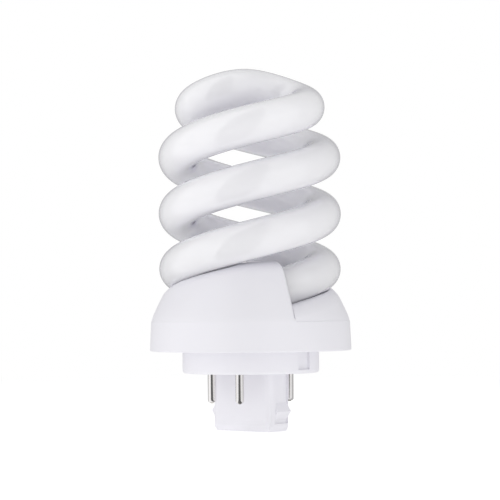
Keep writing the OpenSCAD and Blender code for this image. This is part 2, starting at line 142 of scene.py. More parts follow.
def without_doubles(piece: bpy.types.Object) -> bpy.types.Object:
    """Join the corners of a form that lie in one place, and drop the faces that this empties.

    Args:
        piece: Object whose mesh is changed.

    Returns:
        The same object, in triangles.
    """
    work = bmesh.new()
    work.from_mesh(piece.data)
    bmesh.ops.remove_doubles(work, verts=work.verts, dist=SAME_PLACE)
    bmesh.ops.dissolve_degenerate(work, edges=work.edges, dist=SAME_PLACE / 2)
    bmesh.ops.triangulate(work, faces=work.faces)
    work.to_mesh(piece.data)
    work.free()
    return piece


def edge_by_angle(mesh: bpy.types.Mesh) -> None:
    """Join doubles and flat triangles, and mark the edges that turn by more than SHARP.

    Args:
        mesh: Mesh that is changed.
    """
    work = bmesh.new()
    work.from_mesh(mesh)
    bmesh.ops.remove_doubles(work, verts=work.verts, dist=SAME_PLACE)
    bmesh.ops.dissolve_limit(work, angle_limit=math.radians(FLAT), verts=work.verts, edges=work.edges)
    for edge in work.edges:
        edge.smooth = not edge.is_manifold or edge.calc_face_angle(0.0) < math.radians(SHARP)
    for face in work.faces:
        face.smooth = True
    work.to_mesh(mesh)
    work.free()


def finished_copy(node: str, bevel: float) -> bpy.types.Object:
    """Copy a solid, join its loose triangles and soften its edges.

    Args:
        node: Name of the solid.
        bevel: Width of the softened edge in millimetres, or 0 for none.

    Returns:
        The copy, which stands for the solid.
    """
    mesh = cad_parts[node].data.copy()
    mesh.name = f"{node}_finished"
    mesh.materials.clear()
    edge_by_angle(mesh)
    piece = bpy.data.objects.new(f"{node}_finished", mesh)
    bpy.context.scene.collection.objects.link(piece)
    if bevel:
        soften = piece.modifiers.new("soft_edges", "BEVEL")
        soften.width = bevel * MM
        soften.segments = 2
        soften.limit_method = "ANGLE"
        soften.angle_limit = math.radians(SHARP)
        soften.harden_normals = True
        soften.use_clamp_overlap = True
    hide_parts(node)
    return piece


# Finishes


def add_node(tree: bpy.types.NodeTree, kind: str, inputs: dict | None = None, **settings) -> bpy.types.Node:
    """Add a node with its settings, values and links.

    Args:
        tree: Node tree that it goes in.
        kind: Blender's name of the node.
        inputs: Socket name or number to a value, or to the socket that feeds it.
        **settings: Properties of the node itself.

    Returns:
        The new node.
    """
    node = tree.nodes.new(kind)
    for name, value in settings.items():
        setattr(node, name, value)
    for name, value in (inputs or {}).items():
        if isinstance(value, bpy.types.NodeSocket):
            tree.links.new(value, node.inputs[name])
        else:
            node.inputs[name].default_value = value
    return node


class Making(Enum):
    """How a surface was made, which picks its pattern."""

    MOULDED = "moulded"
    COATED_GLASS = "coated glass"
    TURNED = "turned"
    DRAWN = "drawn"
    WOVEN = "woven"
    CAST = "cast"


# Shares of "seen edge on" between which the coat's colour goes over to its darker second colour: painted shade
# along the silhouettes
PAINTED_EDGE_SHADE_FROM, PAINTED_EDGE_SHADE_TO = 0.62, 0.97
# Share of the second colour that a coat's clouds reach
COAT_CLOUDS = 0.06
# Radians of wave that Blender's wave pattern has in a unit of its scale
WAVE_UNIT = 20.0


@dataclass(frozen=True)
class Finish:
    """A real material and the way its surface was made.

    The colours are sRGB. grain is the width of the surface's texture and depth its height, and
    clouds is the width of the colour's blotches, in millimetres. depth_of_light is how far light
    goes in a milky body, under a clear wall as smooth as clear_roughness.
    """

    name: str
    slot: str
    making: Making
    colour: str
    second: str
    roughness: float
    grain: float
    depth: float
    clouds: float = 9.0
    metallic: float = 0.0
    ior: float = 1.5
    depth_of_light: float = 0.0
    clear_roughness: float = 0.02

    def material(self) -> bpy.types.Material:
        """Build the material, or return it where it has been built before.

        Returns:
            The material, with its pattern in Object coordinates.
        """
        found = bpy.data.materials.get(self.name)
        if found:
            return found
        made = bpy.data.materials.new(self.name)
        made.use_nodes = True
        tree = made.node_tree
        tree.nodes.clear()
        place = add_node(tree, "ShaderNodeTexCoord").outputs["Object"]
        colour, height = {
            Making.MOULDED: self._moulded,
            Making.COATED_GLASS: self._coated_glass,
            Making.TURNED: self._turned,
            Making.DRAWN: self._turned,
            Making.WOVEN: self._woven,
            Making.CAST: self._cast,
        }[self.making](tree, place)
        relief = {"Height": height, "Strength": 1.0, "Distance": self.depth * MM}
        bump = add_node(tree, "ShaderNodeBump", relief)
        values = {
            "Base Color": colour,
            "Roughness": self.roughness,
            "Metallic": self.metallic,
            "Normal": bump.outputs["Normal"],
        }
        if not self.metallic:
            values["IOR"] = self.ior
        if self.depth_of_light:
            values |= {
                "Coat Weight": 1.0,
                "Coat Roughness": self.clear_roughness,
                "Coat IOR": self.ior,
                "Subsurface Weight": 1.0,
                "Subsurface Radius": (1.0, 1.0, 1.0),
                "Subsurface Scale": self.depth_of_light * MM,
            }
        skin = add_node(tree, "ShaderNodeBsdfPrincipled", values)
        add_node(tree, "ShaderNodeOutputMaterial", {"Surface": skin.outputs["BSDF"]})
        return made

    def _two_colours(self, tree: bpy.types.NodeTree, share: bpy.types.NodeSocket) -> bpy.types.NodeSocket:
        """Mix the two colours, with the second one's share from 0 to 1."""
        both = {"Factor": share, 6: linear(self.colour), 7: linear(self.second)}
        return add_node(tree, "ShaderNodeMix", both, data_type="RGBA").outputs[2]

    def _noise(
        self, tree: bpy.types.NodeTree, place: bpy.types.NodeSocket, size: float, detail: float
    ) -> bpy.types.NodeSocket:
        """Soft noise with blotches of a size in millimetres, and layers of finer noise in them."""
        values = {"Vector": place, "Scale": 1 / (size * MM), "Detail": detail}
        return add_node(tree, "ShaderNodeTexNoise", values).outputs["Fac"]

    def _moulded(self, tree: bpy.types.NodeTree, place: bpy.types.NodeSocket) -> tuple:
        """Moulded plastic: an even colour with faint flow clouds, and the mould's fine eroded grain."""
        clouds = self._noise(tree, place, self.clouds, 2.0)
        return self._two_colours(tree, clouds), self._noise(tree, place, self.grain, 3.0)

    def _coated_glass(self, tree: bpy.types.NodeTree, place: bpy.types.NodeSocket) -> tuple:
        """Glass over a powder coat.

        The coat's colour is painted darker towards its second colour where the surface is seen edge on, a
        painted shade along the silhouettes, and the powder lies in faint clouds. The surface keeps the slow
        waves of drawn and bent glass.

        Args:
            tree: Node tree of the material.
            place: Coordinates in metres.

        Returns:
            The colour's and the height's sockets.
        """
        clouds = self._noise(tree, place, self.clouds, 2.0)
        # Painted shade: the colour goes over to the darker second colour where the surface is seen edge on
        facing = add_node(tree, "ShaderNodeLayerWeight", {"Blend": 0.5}).outputs["Facing"]
        limits = {"Value": facing, "From Min": PAINTED_EDGE_SHADE_FROM, "From Max": PAINTED_EDGE_SHADE_TO, "To Min": 0.0, "To Max": 1.0}
        edge = add_node(tree, "ShaderNodeMapRange", limits, interpolation_type="SMOOTHSTEP").outputs["Result"]
        share = {0: clouds, 1: COAT_CLOUDS, 2: edge}
        share = add_node(tree, "ShaderNodeMath", share, operation="MULTIPLY_ADD").outputs[0]
        return self._two_colours(tree, share), self._noise(tree, place, self.grain, 1.0)

    def _turned(self, tree: bpy.types.NodeTree, place: bpy.types.NodeSocket) -> tuple:
        """Turned or drawn metal: fine rings across the axis under the plating."""
        scale = 1 / (self.grain * MM) / WAVE_UNIT
        values = {"Vector": place, "Scale": scale, "Distortion": 1.5, "Detail": 2.0}
        rings = add_node(tree, "ShaderNodeTexWave", values, bands_direction="Z").outputs["Fac"]
        return self._two_colours(tree, self._noise(tree, place, self.clouds, 2.0)), rings

    def _woven(self, tree: bpy.types.NodeTree, place: bpy.types.NodeSocket) -> tuple:
        """Woven sleeve: a chequer of threads that rise and dive."""
        threads = add_node(tree, "ShaderNodeTexChecker", {"Vector": place, "Scale": 1 / (self.grain * MM)})
        return self._two_colours(tree, threads.outputs["Fac"]), threads.outputs["Fac"]

    def _cast(self, tree: bpy.types.NodeTree, place: bpy.types.NodeSocket) -> tuple:
        """Set cement: a dull grainy body with pores."""
        pores = self._noise(tree, place, self.grain, 6.0)
        return self._two_colours(tree, pores), pores


# Soda-lime tube with a white powder coat inside: milky and glossy, with a painted shade that greys it at its
# edges
PHOSPHOR_GLASS = Finish(
    "phosphor_coated_soda_lime_glass", "milky_glass", Making.COATED_GLASS, "#F1F0F7", "#CCCBD5",
    roughness=0.04, grain=14.0, depth=0.02, clouds=3.0, ior=1.52, depth_of_light=17.0,
)
# Polybutylene terephthalate moulded in a finely eroded tool: an even satin white
COVER_PLASTIC = Finish(
    "moulded_pbt_cover_white", "cover_plastic", Making.MOULDED, "#F0EFF4", "#EDECF2",
    roughness=0.36, grain=0.5, depth=0.004,
)
# The same plastic from a duller tool, with softer highlights, in a slightly lighter white: painted light that
# offsets the shade the cover casts on the base
BASE_PLASTIC = Finish(
    "moulded_pbt_base_white", "base_plastic", Making.MOULDED, "#F3F2F7", "#F0EFF4",
    roughness=0.42, grain=0.5, depth=0.005,
)
# Turned brass with bright nickel on it: the plating keeps the tool's rings
NICKEL_PLATE = Finish(
    "nickel_plated_turned_brass", "plated_pin", Making.TURNED, "#F6F4F4", "#EBE8E8",
    roughness=0.1, grain=0.25, depth=0.001, clouds=1.5, metallic=1.0,
)
# Copper wire drawn through dies and dipped in tin: soft grey with long faint rings
TINNED_COPPER = Finish(
    "tinned_drawn_copper_wire", "tinned_wire", Making.DRAWN, "#BDB9B0", "#AAA69E",
    roughness=0.32, grain=0.6, depth=0.002, clouds=1.5, metallic=1.0,
)
# Glass-fibre yarn braided into a sleeve: off-white, dull, with a small weave
FIBRE_SLEEVE = Finish(
    "braided_glass_fibre_sleeve", "glass_sleeve", Making.WOVEN, "#EFEBDD", "#DDD8C8",
    roughness=0.8, grain=0.4, depth=0.05,
)
# Silicate cement poured wet and set: grey-white, matt and porous
SET_CEMENT = Finish(
    "poured_silicate_cement", "cement", Making.CAST, "#DBD8D1", "#C4C0B8",
    roughness=0.9, grain=0.8, depth=0.08,
)


def dress(piece: bpy.types.Object, finish: Finish) -> bpy.types.Object:
    """Give a piece its finish and its place on the body.

    Args:
        piece: Object that is dressed.
        finish: Finish that it gets.

    Returns:
        The same object.
    """
    piece.data.materials.clear()
    piece.data.materials.append(finish.material())
    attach(piece, ROOT)
    log.info("%s: %s", piece.name, finish.name)
    return piece


# The lamp's sub-assemblies


@dataclass
class Spiral:
    """The course of the glass: two arms that wind down from the crown into their hoods.

    A point is named by its turn b in degrees back from the crown. A negative b is the
    first arm and a positive b the other, half a turn round.
    """

    coil_r: float = 20.1
    coil_pitch: float = 31.5
    arm_turns: float = 1.767
    crown_turn: float = 30.0
    crest_turn: float = 6.0
    crown_lean: float = -0.3
    crown_rise: float = 1.44
    crown_rise_turn: float = 25.0
    lean_peak: float = 60.0
    entry_r: float = 16.4
    entry_turn: float = 74.0
    hidden_turn: float = 87.0
    face_dir: float = -24.3
    entry_z: float = 39.3
    way_step: float = 0.5

    @property
    def entry_b(self) -> float:
        """Turn at which an arm meets its hood's end face."""
        return 360 * self.arm_turns

    @property
    def seal_b(self) -> float:
        """Turn at which an arm's seal starts."""
        return self.entry_b + self.hidden_turn

    @property
    def degree_l(self) -> float:
        """Length of a degree of turn inside a hood, in millimetres."""
        return 2 * math.pi * self.entry_r / 360

    def radius(self, turn: np.ndarray) -> np.ndarray:
        """Distance of the middle line from the axis.

        It grows as one minus an exponential from the crown, and falls by a smooth step
        before the hood.

        Args:
            turn: Turns back from the crown in degrees, without a sign.

        Returns:
            Distances in millimetres.
        """
        step = np.clip((turn - self.entry_b + self.entry_turn) / self.entry_turn, 0, 1)
        drawn_in = (self.coil_r - self.entry_r) * step**2 * (3 - 2 * step)
        return self.coil_r * (1 - np.exp(-turn / self.crown_turn)) - drawn_in

    def line(self, b: np.ndarray) -> np.ndarray:
        """Points on the glass's middle line.

        Height falls as the length of the turn and the crest's softness set square to each
        other. A bell-shaped rise lifts the crown, and one lobe hangs a little below the other.

        Args:
            b: Turns in degrees, signed by arm.

        Returns:
            Points in millimetres.
        """
        turn = np.abs(b)
        climb = self.coil_pitch / 360
        top = self.entry_z + climb * math.hypot(self.entry_b, self.crest_turn)
        lobe = self.crown_lean * b / self.lean_peak * np.exp(1 - turn / self.lean_peak)
        rise = self.crown_rise * np.exp(-((turn / self.crown_rise_turn) ** 2))
        height = top - climb * np.hypot(turn, self.crest_turn) + lobe + rise
        angle = np.radians(self.face_dir + self.entry_b - turn + np.where(b > 0, 180, 0))
        radius = self.radius(turn)
        return np.stack([radius * np.cos(angle), radius * np.sin(angle), height], -1)

    def sweep(self, name: str, b: np.ndarray, radius: np.ndarray, sides: int) -> bpy.types.Object:
        """Sweep a circle along the course: point = middle + radius (side cos a + rise sin a).

        The way is the step between two points beside the middle, side is square to it and
        level, and rise is square to both.

        Args:
            name: Name of the form.
            b: Turns of the rings in degrees.
            radius: Radius of each ring in millimetres.
            sides: Corners in a ring.

        Returns:
            A closed mesh object.
        """
        middle = self.line(b)
        way = self.line(b + self.way_step) - self.line(b - self.way_step)
        way /= np.linalg.norm(way, axis=-1, keepdims=True)
        side = np.cross(way, [0.0, 0.0, 1.0])
        side /= np.linalg.norm(side, axis=-1, keepdims=True)
        rise = np.cross(side, way)
        angle = np.linspace(0, 2 * np.pi, sides, endpoint=False)
        ring = side[:, None] * np.cos(angle)[:, None] + rise[:, None] * np.sin(angle)[:, None]
        points = middle[:, None] + radius[:, None, None] * ring
        corners = np.concatenate([points.reshape(-1, 3), middle[[0, -1]]])
        first = np.arange(sides)
        tip = len(b) * sides
        caps = [fan_faces(first, tip, False), fan_faces(first + tip - sides, tip + 1, True)]
        return mesh_object(name, corners, np.concatenate([grid_faces(len(b), sides)[:, ::-1], *caps]))


@dataclass
class GlassTube:
    """The sealed spiral tube."""

    spiral: Spiral
    tube_d: float = 10.8
    dome_l: float = 3.4
    stub_d: float = 3.2
    stub_l: float = 3.2
    stub_tip_l: float = 0.8
    sides: int = 72
    rings: int = 640
    end_rings: int = 26

    def _radius(self, b: np.ndarray) -> np.ndarray:
        """Radius of the glass: full, then a half ellipse at the seal, then the exhaust stub.

        Args:
            b: Turns in degrees, signed by arm.

        Returns:
            Radii in millimetres.
        """
        past = (np.abs(b) - self.spiral.seal_b) * self.spiral.degree_l
        dome = self.tube_d / 2 * np.sqrt(np.clip(1 - (past / self.dome_l) ** 2, 0, 1))
        left = np.clip((self.dome_l + self.stub_l - past) / self.stub_tip_l, 0, 1)
        return np.where(past <= 0, self.tube_d / 2, np.maximum(dome, self.stub_d / 2 * np.sqrt(left)))

    def build(self) -> bpy.types.Object:
        """Make the tube along its whole course, with closer rings at both seals.

        Returns:
            The dressed tube.
        """
        last = self.spiral.seal_b + (self.dome_l + self.stub_l) / self.spiral.degree_l
        even = np.linspace(-self.spiral.seal_b, self.spiral.seal_b, self.rings)
        ends = np.linspace(self.spiral.seal_b, last, self.end_rings)[1:]
        b = np.concatenate([-ends[::-1], even, ends])
        piece = self.spiral.sweep("spiral_glass_tube", b, self._radius(b), self.sides)
        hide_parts("discharge_tube")
        return dress(piece, PHOSPHOR_GLASS)


@dataclass
class HoodedCover:
    """The moulded dome with two like hoods, each climbing half a turn to its end face.

    A section is a line of (radius, height) points from the rim up the wall, over the
    shoulder and down to the floor round the axis. t runs from 0 at a hood's low start to 1
    at its end face.
    """

    spiral: Spiral
    # The band round the foot, and its ledge, which fades out along a hood
    rim_r: float = 28.15
    rim_z: float = 22.4
    rim_edge: float = 0.4
    ledge_r: float = 27.8
    ledge_z: float = 30.6
    ledge_edge: float = 0.15
    ledge_step: float = 0.3
    band_taper: float = 0.043
    taper_h: float = 2.0
    # A hood's wall, shoulder and top
    low_rise: float = 4.0
    wall_lean: float = 0.52
    lean_start: float = 1.5
    least_wall: float = 0.4
    shoulder_r: float = 5.6
    hood_t: float = 1.45
    crest_rise: float = 0.8
    level_soft: float = 1.2
    # The fall from a hood's crest to the floor round the axis
    crest_w: float = 1.6
    fall_l: float = 2.5
    fall_soft: float = 0.15
    floor_rise: float = 0.4
    # The rounded lip of the end face
    lip: float = 0.8
    lip_r: float = 17.0
    lip_h: float = 1.2
    # The hollow, with the bead that the plate snaps behind
    cavity_r: float = 26.15
    cavity_drop: float = 3.0
    cavity_lean: float = 0.2
    past_rim: float = 1.0
    bead_z: float = 4.1
    bead_h: float = 0.35
    bead_at: tuple[float, ...] = (-0.6, -0.3, 0.3, 0.6)
    nest_depth: float = 0.9
    face_t: float = 1.8
    roof_gap: float = 0.3
    inner_edge: tuple[float, ...] = (1.5, 0.5, 0.0)
    inner_share: float = 0.9
    # An arm's way through, wider at its mouth. flare_turn and past_seal are in degrees of turn.
    tube_r: float = 5.4
    glass_gap: float = 0.3
    flare: float = 0.45
    flare_turn: float = 2.2
    groove_turn: float = 185.0
    past_seal: float = 12.0
    # Corners along and round the forms
    columns: int = 132
    lip_columns: int = 9
    hollow_columns: int = 61
    wall_points: int = 20
    arc_points: int = 16
    fall_points: int = 26
    course_rings: int = 130
    course_sides: int = 56

    @property
    def low_roof_z(self) -> float:
        """Height of a hood's low start."""
        return self.ledge_z + self.low_rise

    @property
    def roof_z(self) -> float:
        """Height of the hollow's roof round the axis."""
        return self.low_roof_z - self.hood_t - self.roof_gap

    @property
    def in_r(self) -> float:
        """Radius of the arm's inner edge inside a hood."""
        return self.spiral.entry_r - self.tube_r

    def _top(self, t: np.ndarray) -> np.ndarray:
        """Height of the hood's top: the lower of the climb and the level end, blended softly.

        Args:
            t: Places along the hood.

        Returns:
            Heights in millimetres.
        """
        slope = math.atan(self.spiral.coil_pitch / (2 * math.pi * self.spiral.coil_r))
        climb = self.low_roof_z + self.spiral.coil_pitch / 2 * t
        level = self.spiral.entry_z + self.tube_r / math.cos(slope) + self.hood_t + self.crest_rise
        return (climb + level - np.hypot(climb - level, self.level_soft)) / 2

    def _wall(self, z: np.ndarray) -> np.ndarray:
        """Radius of the leaning wall: it goes on from the band's taper, then nears its full lean.

        Args:
            z: Heights in millimetres.

        Returns:
            Radii in millimetres.
        """
        high = np.maximum(z - self.ledge_z, 0)
        taper = self.band_taper * high * np.exp(-high / self.taper_h)
        return self.ledge_r - taper - self.wall_lean * high**2 / (high + self.lean_start)

    def _rise(
        self, t: np.ndarray, top: np.ndarray, low: float, inset: float, extra: float
    ) -> list[np.ndarray]:
        """The wall and shoulder of a section: the wall's curve, then an arc up to the top.

        Args:
            t: Places along the hood, as a column.
            top: Height of the section's top at each place.
            low: Height where the wall starts.
            inset: Distance in from the cover's outside.
            extra: Further lean at the low start, in millimetres a millimetre.

        Returns:
            Radius and height arrays of the wall and of the arc.
        """
        lean = math.atan(self.wall_lean)
        touch = np.maximum(top - self.shoulder_r * (1 - math.sin(lean)), low + self.least_wall)
        z = low + (touch - low) * np.linspace(0, 1, self.wall_points)
        step = self.ledge_step * (1 - t) ** 2 if inset == 0 else extra * (1 - t) * (z - low)
        wall = self._wall(z) - inset - step
        wall = np.minimum(wall, self.cavity_r - step) if inset else wall
        bend = self.shoulder_r - inset
        angle = np.linspace(lean, math.pi / 2, self.arc_points)[1:]
        middle = wall[:, -1:] - bend * math.cos(lean)
        rise = touch - bend * math.sin(lean) if inset else top - bend
        return [wall, z, middle + bend * np.cos(angle), rise + bend * np.sin(angle)]

    def _outside(self, t: np.ndarray) -> np.ndarray:
        """Sections of the outside: rim, ledge, wall, shoulder, a fall shaped as an S, and the floor.

        Args:
            t: Places along the hood.

        Returns:
            Radius and height of each point of each section.
        """
        t = t[:, None]
        top = self._top(t)
        wall, wall_z, arc, arc_z = self._rise(t, top, self.ledge_z, 0.0, 0.0)
        quarter = np.linspace(-math.pi / 2, 0, 6)
        rim = self.rim_r - self.rim_edge + self.rim_edge * np.cos(quarter)
        rim_z = self.rim_z + self.rim_edge + self.rim_edge * np.sin(quarter)
        edge = np.linspace(0, math.pi / 2, 4)
        ledge = self.ledge_r - self.ledge_edge * (1 - t) ** 2 * (1 - np.cos(edge))
        ledge_z = self.ledge_z - self.ledge_edge + self.ledge_edge * np.sin(edge)
        crest = self.in_r - self.hood_t + self.crest_w
        inner = np.linspace(crest, crest - self.fall_l, self.fall_points)
        fall = 1 / (1 + np.exp(-(inner - crest + self.crest_w) / self.fall_soft))
        inner_z = self.low_roof_z + (top - self.low_roof_z) * fall
        floor = np.linspace(crest - self.fall_l, 0, 7)[1:-1]
        floor_z = self.low_roof_z + self.floor_rise * (1 - (floor / (crest - self.fall_l)) ** 2)
        rows = np.ones_like(t)
        radii = [rim * rows, ledge, wall[:, 1:], arc, inner * rows, floor * rows]
        heights = [rim_z * rows, ledge_z * rows, wall_z[:, 1:], arc_z, inner_z, floor_z * rows]
        return np.stack([np.concatenate(radii, 1), np.concatenate(heights, 1)], -1)

    def _inside(self, t: np.ndarray) -> np.ndarray:
        """Sections of the hollow, a wall's thickness in, with the snap bead's step.

        Args:
            t: Places along the hood.

        Returns:
            Radius and height of each point of each section.
        """
        t = t[:, None]
        drop = self.spiral.coil_pitch / 360 * self.face_t / self.spiral.degree_l
        top = self._top(t) - self.hood_t - self.nest_depth - drop
        low = self.ledge_z - self.cavity_drop
        wall, wall_z, arc, arc_z = self._rise(t, top, low, self.hood_t, self.cavity_lean)
        skirt = np.array([0, 0, -self.bead_h, -self.bead_h, 0]) + self.cavity_r
        bead = self.rim_z + self.bead_z + np.array(self.bead_at)
        skirt_z = np.concatenate([[self.rim_z - self.past_rim], bead])
        inner = np.array(self.inner_edge) + self.in_r
        roof = self.roof_z
        inner_z = np.concatenate([top, roof + self.inner_share * (top - roof), np.full_like(top, roof)], 1)
        rows = np.ones_like(t)
        radii = [skirt * rows, wall, arc, inner * rows]
        heights = [skirt_z * rows, wall_z, arc_z, inner_z]
        return np.stack([np.concatenate(radii, 1), np.concatenate(heights, 1)], -1)

    def _rounded(self, sections: np.ndarray, inward: np.ndarray) -> np.ndarray:
        """Draw sections in along their own normals, where they stand above the low start.

        Args:
            sections: Radius and height of each point of each section.
            inward: Distance for each section, in millimetres.

        Returns:
            The sections with their hoods' edges drawn in.
        """
        way = np.gradient(sections, axis=1)
        normal = np.stack([way[..., 1], -way[..., 0]], -1)
        normal /= np.maximum(np.linalg.norm(normal, axis=-1, keepdims=True), 1e-9)
        standing = np.clip((sections[..., 1] - self._outside(np.zeros(1))[0, :, 1]) / self.lip_h, 0, 1)
        return sections - normal * (inward[:, None] * standing)[..., None]

    def _solid(
        self, name: str, sections: np.ndarray, turns: np.ndarray, poles: tuple[float, float]
    ) -> bpy.types.Object:
        """Carry the sections round the axis for both hoods and close the form at the axis.

        Args:
            name: Name of the form.
            sections: Radius and height of each point of each section of one hood.
            turns: Angle of each section in degrees, from the hood's low start.
            poles: Heights of the two points on the axis.

        Returns:
            A closed mesh object. The step between the two hoods is the upright end face.
        """
        angle = np.radians(self.spiral.face_dir - 180 + np.concatenate([turns, turns + 180]))[:, None]
        both = np.concatenate([sections, sections])
        points = np.stack([both[..., 0] * np.cos(angle), both[..., 0] * np.sin(angle), both[..., 1]], -1)
        rows, count = points.shape[:2]
        flat = np.concatenate([points.reshape(-1, 3), [[0, 0, poles[0]], [0, 0, poles[1]]]])
        grid = grid_faces(rows + 1, count, closed=False) % (rows * count)
        rings = np.arange(rows) * count
        fans = [fan_faces(rings, rows * count, True), fan_faces(rings + count - 1, rows * count + 1, False)]
        return without_doubles(mesh_object(name, flat, np.concatenate([grid[:, ::-1], *fans])))

    def _course(self, name: str, start: float, end: float) -> bpy.types.Object:
        """The way of an arm through the cover: a circle swept a gap wider than the glass.

        Args:
            name: Name of the form.
            start: Turn at which it starts.
            end: Turn at which it ends, further on.

        Returns:
            A closed mesh object, wider by a quarter round at the end face.
        """
        b = np.linspace(start, end, self.course_rings)
        mouth = np.abs(np.abs(b) - self.spiral.entry_b) / self.flare_turn
        flare = self.flare * (1 - np.sqrt(1 - np.clip(1 - mouth, 0, 1) ** 2))
        return self.spiral.sweep(name, b, self.tube_r + self.glass_gap + flare, self.course_sides)

    def _forms(self) -> tuple[bpy.types.Object, bpy.types.Object]:
        """Make the outside, with the end faces' lips rounded, and the hollow.

        Returns:
            The outside and the hollow, as closed mesh objects.
        """
        reach = self.lip / self.lip_r * 180 / math.pi
        even = np.linspace(0, 180 - reach, self.columns)
        turns = np.concatenate([even, 180 - reach * np.linspace(1, 0, self.lip_columns)[1:] ** 2])
        share = ((turns - 180 + reach) / reach).clip(0, 1)
        inward = self.lip * (1 - np.sqrt(np.clip(1 - share**2, 0, 1)))
        sections = self._rounded(self._outside(turns / 180), inward)
        cover = self._solid("hooded_cover", sections, turns, (self.rim_z, self.low_roof_z + self.floor_rise))
        t = np.linspace(0, 1, self.hollow_columns)
        back = t * 180 - self.face_t / self.spiral.degree_l
        hollow = self._solid("hollow", self._inside(t), back, (self.rim_z - self.past_rim, self.roof_z))
        return cover, hollow

    def build(self) -> bpy.types.Object:
        """Cut the hollow and both arms' ways out of the outside, and keep the result.

        Returns:
            The dressed cover.
        """
        cover, hollow = self._forms()
        near, far = self.spiral.entry_b - self.groove_turn, self.spiral.seal_b + self.past_seal
        tools = [hollow, self._course("way_1", -far, -near), self._course("way_2", near, far)]
        for tool in tools:
            cut = cover.modifiers.new(tool.name, "BOOLEAN")
            cut.operation, cut.solver, cut.object = "DIFFERENCE", "MANIFOLD", tool
        view = bpy.context.evaluated_depsgraph_get()
        mesh = bpy.data.meshes.new_from_object(cover.evaluated_get(view))
        cover.modifiers.clear()
        cover.data = mesh
        for tool in tools:
            bpy.data.objects.remove(tool)
        edge_by_angle(mesh)
        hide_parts("tube_cover")
        return dress(cover, COVER_PLASTIC)


@dataclass
class Housing:
    """The closing plate and the plug base."""

    plate_edge: float = 0.15
    base_edge: float = 0.25

    def build(self) -> list[bpy.types.Object]:
        """Finish the two mouldings."""
        plate = dress(finished_copy("closing_plate", self.plate_edge), COVER_PLASTIC)
        return [plate, dress(finished_copy("plug_base", self.base_edge), BASE_PLASTIC)]


@dataclass
class Contacts:
    """The four pins with their leads and sleeves, and the cement under the arms."""

    pins: int = 4
    arms: int = 2
    kinds: dict[str, Finish] = field(
        default_factory=lambda: {
            "contact_pin": NICKEL_PLATE,
            "lead_wire": TINNED_COPPER,
            "wire_sleeve": FIBRE_SLEEVE,
        }
    )

    def build(self) -> list[bpy.types.Object]:
        """Finish each pin, lead, sleeve and bed of cement.

        Returns:
            The dressed pieces.
        """
        kinds = self.kinds.items()
        finishes = {f"{kind}_{i + 1}": finish for kind, finish in kinds for i in range(self.pins)}
        finishes |= {f"tube_cement_{i + 1}": SET_CEMENT for i in range(self.arms)}
        return [dress(finished_copy(node, 0.0), finish) for node, finish in finishes.items()]


# The studio


@dataclass(frozen=True)
class SoftBox:
    """A soft light that looks at the lamp's middle.

    turn is from the camera's side and rise is up, in degrees. reach, width and height are in
    millimetres.
    """

    name: str
    turn: float
    rise: float
    reach: float
    width: float
    height: float
    watts: float


